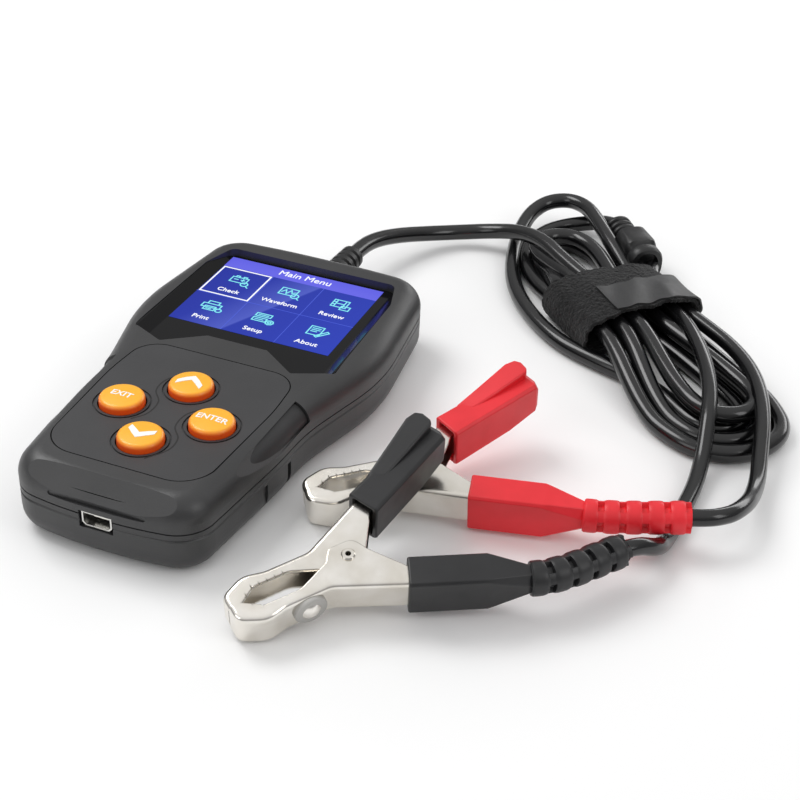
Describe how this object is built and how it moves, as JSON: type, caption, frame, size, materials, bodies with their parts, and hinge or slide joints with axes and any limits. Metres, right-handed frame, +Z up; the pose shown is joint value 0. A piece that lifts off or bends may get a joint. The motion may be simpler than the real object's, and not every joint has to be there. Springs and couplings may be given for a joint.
{
  "type": "battery tester",
  "caption": "Hand-held battery tester with a colour display, a diamond of round keys, and a corded pair of Kelvin battery clips on a strapped cable",
  "frame": {"origin": "on the table under the middle of the handset's outline", "axes": "+Y along the handset to the end that the cable leaves, +Z up through the display, +X to the right of the display"},
  "size_m": [0.1719, 0.226, 0.0244],
  "materials": {
    "case_abs": "fine textured ABS",
    "label_film": "satin film",
    "grip_rubber": "soft satin rubber",
    "lens_acrylic": "polished acrylic, dark border",
    "lcd_face": "lit colour display",
    "foam": "closed-cell foam",
    "keypad_plastic": "satin ABS",
    "key_orange": "satin moulded",
    "silicone": "matte",
    "switch_plastic": "matte",
    "board_green": "solder mask",
    "tinned_steel": "tinned",
    "chip_black": "epoxy",
    "header_white": "nylon",
    "core_red": "PVC insulation",
    "screw_zinc": "zinc plated",
    "cord_rubber": "glossy PVC jacket",
    "strap_fabric": "hook and loop pile",
    "clip_steel": "nickel-plated stamping",
    "spring_steel": "drawn wire",
    "black_boot": "flexible PVC",
    "red_boot": "flexible PVC",
    "washer_nylon": "nylon"
  },
  "bodies": {
    "handset": {"front_shell": "case_abs", "rear_shell": "case_abs", "rear_label": "label_film", "grip_inlay_left": "grip_rubber", "grip_inlay_right": "grip_rubber", "display_lens": "lens_acrylic", "lcd_module": "lcd_face", "display_gasket": "foam", "keypad_plate": "keypad_plastic", "keypad_mat": "silicone", "key_switches": "switch_plastic", "main_board": "board_green", "usb_socket": "tinned_steel", "buzzer": "switch_plastic", "board_parts": "chip_black", "wire_header": "header_white", "cable_cores": "core_red", "case_screws": "screw_zinc", "cable_gland": "cord_rubber", "main_cable": "cord_rubber", "black_lead": "cord_rubber", "red_lead": "cord_rubber", "cable_hank": "cord_rubber", "cable_strap": "strap_fabric", "y_splitter": "cord_rubber", "black_fixed_jaw": "clip_steel", "black_pivot": "clip_steel", "black_spring": "spring_steel", "black_cable_boot": "black_boot", "black_sense_washer": "washer_nylon", "black_sense_rivet": "clip_steel", "black_crimp": "tinned_steel", "red_fixed_jaw": "clip_steel", "red_pivot": "clip_steel", "red_spring": "spring_steel", "red_cable_boot": "red_boot", "red_sense_washer": "washer_nylon", "red_sense_rivet": "clip_steel", "red_crimp": "tinned_steel"},
    "key_exit": {"key_exit": "key_orange"},
    "key_up": {"key_up": "key_orange"},
    "key_enter": {"key_enter": "key_orange"},
    "key_down": {"key_down": "key_orange"},
    "black_lever": {"black_moving_jaw": "clip_steel", "black_lever_boot": "black_boot"},
    "red_lever": {"red_moving_jaw": "clip_steel", "red_lever_boot": "red_boot"}
  },
  "joints": [
    {"name": "key_exit_press", "type": "slide", "parent": "handset", "child": "key_exit", "axis": [0, 0, -1], "range_m": [0, 0.0008], "stiffness_N_per_m": 400},
    {"name": "key_up_press", "type": "slide", "parent": "handset", "child": "key_up", "axis": [0, 0, -1], "range_m": [0, 0.0008], "stiffness_N_per_m": 400},
    {"name": "key_enter_press", "type": "slide", "parent": "handset", "child": "key_enter", "axis": [0, 0, -1], "range_m": [0, 0.0008], "stiffness_N_per_m": 400},
    {"name": "key_down_press", "type": "slide", "parent": "handset", "child": "key_down", "axis": [0, 0, -1], "range_m": [0, 0.0008], "stiffness_N_per_m": 400},
    {"name": "black_clip_open", "type": "hinge", "parent": "handset", "child": "black_lever", "pos_m": [0.057, -0.0517, 0.0098], "axis": [-0.095, 0.2632, -0.9601], "range_deg": [0, 26], "stiffness_Nm_per_rad": 0.3, "springref_deg": -20.05},
    {"name": "red_clip_open", "type": "hinge", "parent": "handset", "child": "red_lever", "pos_m": [0.0586, -0.0116, 0.0079], "axis": [-0.0164, 0.1902, -0.9816], "range_deg": [0, 26], "stiffness_Nm_per_rad": 0.3, "springref_deg": -20.05}
  ]
}
